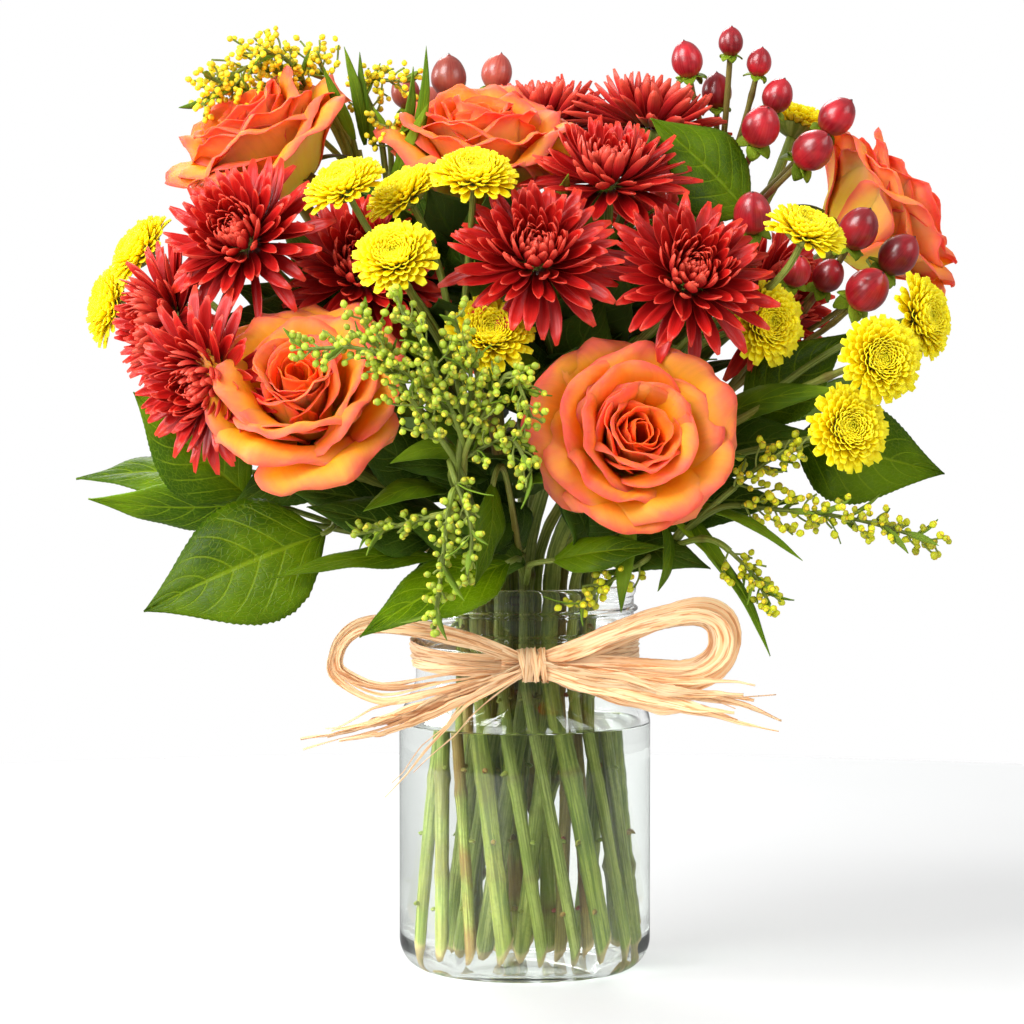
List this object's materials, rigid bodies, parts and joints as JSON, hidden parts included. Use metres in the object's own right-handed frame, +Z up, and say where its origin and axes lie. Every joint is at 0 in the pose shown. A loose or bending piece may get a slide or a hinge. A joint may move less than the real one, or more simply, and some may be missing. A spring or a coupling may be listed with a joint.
{
  "type": "bouquet of chrysanthemums in a jar",
  "caption": "Autumn bouquet of crimson and yellow chrysanthemums, orange roses, berries and goldenrod in a clear glass jar tied with a raffia bow.",
  "frame": {"origin": "centre of the jar's flat foot, on the surface that it stands on", "axes": "+Z up through the jar's axis; -Y is the bouquet's front, where the bow is; +X is to the right of someone who faces the front"},
  "size_m": [0.3448, 0.2572, 0.3672],
  "materials": {
    "glass": "polished",
    "water": "gloss",
    "raffia": "satin",
    "stem": "satin",
    "rose_petal": "satin",
    "mum_petal": "satin",
    "button_petal": "satin",
    "berry": "gloss",
    "goldenrod": "matte",
    "leaf": "satin"
  },
  "bodies": {
    "root": {"berry_sprig_back": "berry", "berry_sprig_right": "berry", "berry_sprig_top": "berry", "button_back": "button_petal", "button_left_lower": "button_petal", "button_left_upper": "button_petal", "button_middle_left": "button_petal", "button_right_lower": "button_petal", "button_right_middle": "button_petal", "button_right_outer": "button_petal", "button_right_tucked": "button_petal", "button_spray_back": "stem", "button_spray_front": "stem", "button_spray_left": "stem", "button_spray_right": "stem", "button_spray_upper_right": "stem", "button_tucked": "button_petal", "button_under": "button_petal", "button_upper_left": "button_petal", "button_upper_middle": "button_petal", "button_upper_right": "button_petal", "glass_jar": "glass", "goldenrod_front": "goldenrod", "goldenrod_left": "goldenrod", "goldenrod_middle": "goldenrod", "goldenrod_right": "goldenrod", "mum_front_left": "mum_petal", "mum_front_right": "mum_petal", "mum_left_inner": "mum_petal", "mum_left_lower": "mum_petal", "mum_left_outer": "mum_petal", "mum_left_upper": "mum_petal", "mum_rear": "mum_petal", "mum_right": "mum_petal", "mum_spray_front": "stem", "mum_spray_left": "stem", "mum_spray_top": "stem", "mum_top_middle": "mum_petal", "mum_top_right": "mum_petal", "mum_upper_middle": "mum_petal", "raffia_band": "raffia", "raffia_bow": "raffia", "raffia_knot": "raffia", "rose_back_left": "rose_petal", "rose_front_left": "rose_petal", "rose_front_right": "rose_petal", "rose_rear": "rose_petal", "rose_right": "rose_petal", "rose_stem_back_left": "stem", "rose_stem_front_left": "stem", "rose_stem_front_right": "stem", "rose_stem_rear": "stem", "rose_stem_right": "stem", "rose_stem_top": "stem", "rose_top": "rose_petal", "salal_back": "leaf", "salal_front": "leaf", "salal_left": "leaf", "salal_right": "leaf", "water": "water"}
  },
  "joints": []
}
